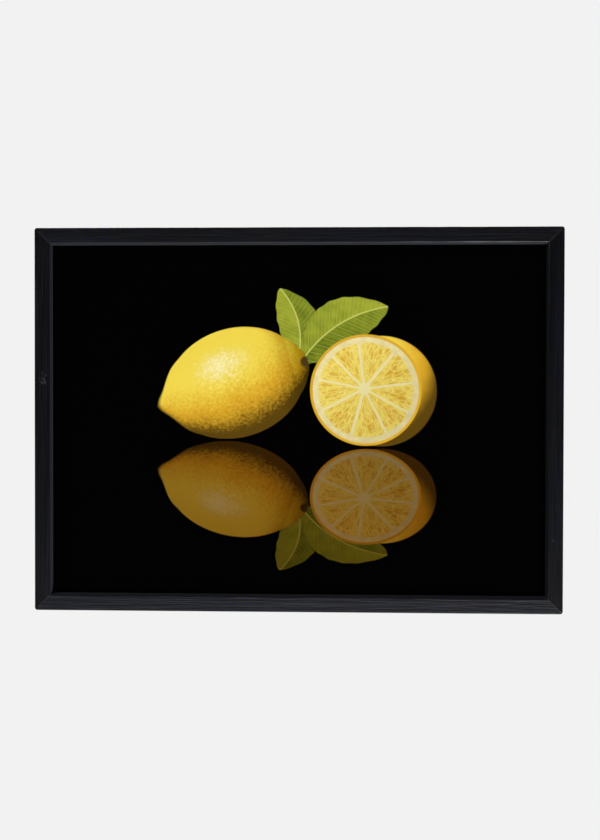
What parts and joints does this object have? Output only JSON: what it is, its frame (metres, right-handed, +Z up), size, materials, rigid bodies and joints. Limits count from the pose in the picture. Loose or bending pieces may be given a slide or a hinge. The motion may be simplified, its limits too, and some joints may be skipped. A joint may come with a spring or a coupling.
{
  "type": "framed picture",
  "caption": "Landscape picture in a black-stained wooden frame with clear pane, printed sheet, hardboard back, bendable tabs and saw-tooth wall hangers.",
  "frame": {"origin": "middle notch of the top rail's saw-tooth hanger, on the wall's surface", "axes": "+X to the viewer's right along the picture's width, +Y into the wall (the picture faces -Y), +Z up"},
  "size_m": [0.44, 0.0245, 0.32],
  "materials": {
    "stained_wood": "black-stained open-grain ash, satin",
    "clear_acrylic": "clear, low-glare",
    "printed_paper": "photo print, black ground with yellow fruit, matt",
    "hardboard": "raw brown hardboard",
    "zinc_plated_steel": "zinc-plated, satin",
    "grey_felt": "pressed felt"
  },
  "bodies": {
    "root": {"rail_top": "stained_wood", "rail_bottom": "stained_wood", "rail_left": "stained_wood", "rail_right": "stained_wood", "glazing": "clear_acrylic", "art_print": "printed_paper", "backing_board": "hardboard", "tab_top_1": "zinc_plated_steel", "tab_top_2": "zinc_plated_steel", "tab_top_3": "zinc_plated_steel", "tab_bottom_1": "zinc_plated_steel", "tab_bottom_2": "zinc_plated_steel", "tab_bottom_3": "zinc_plated_steel", "tab_left_1": "zinc_plated_steel", "tab_left_2": "zinc_plated_steel", "tab_right_1": "zinc_plated_steel", "tab_right_2": "zinc_plated_steel", "hanger_top": "zinc_plated_steel", "hanger_left": "zinc_plated_steel", "hanger_nail_top_a": "zinc_plated_steel", "hanger_nail_top_b": "zinc_plated_steel", "hanger_nail_left_a": "zinc_plated_steel", "hanger_nail_left_b": "zinc_plated_steel", "corner_wedge_top_a": "zinc_plated_steel", "corner_wedge_top_b": "zinc_plated_steel", "corner_wedge_bottom_a": "zinc_plated_steel", "corner_wedge_bottom_b": "zinc_plated_steel", "wall_pad_top_a": "grey_felt", "wall_pad_top_b": "grey_felt", "wall_pad_bottom_a": "grey_felt", "wall_pad_bottom_b": "grey_felt"}
  },
  "joints": []
}
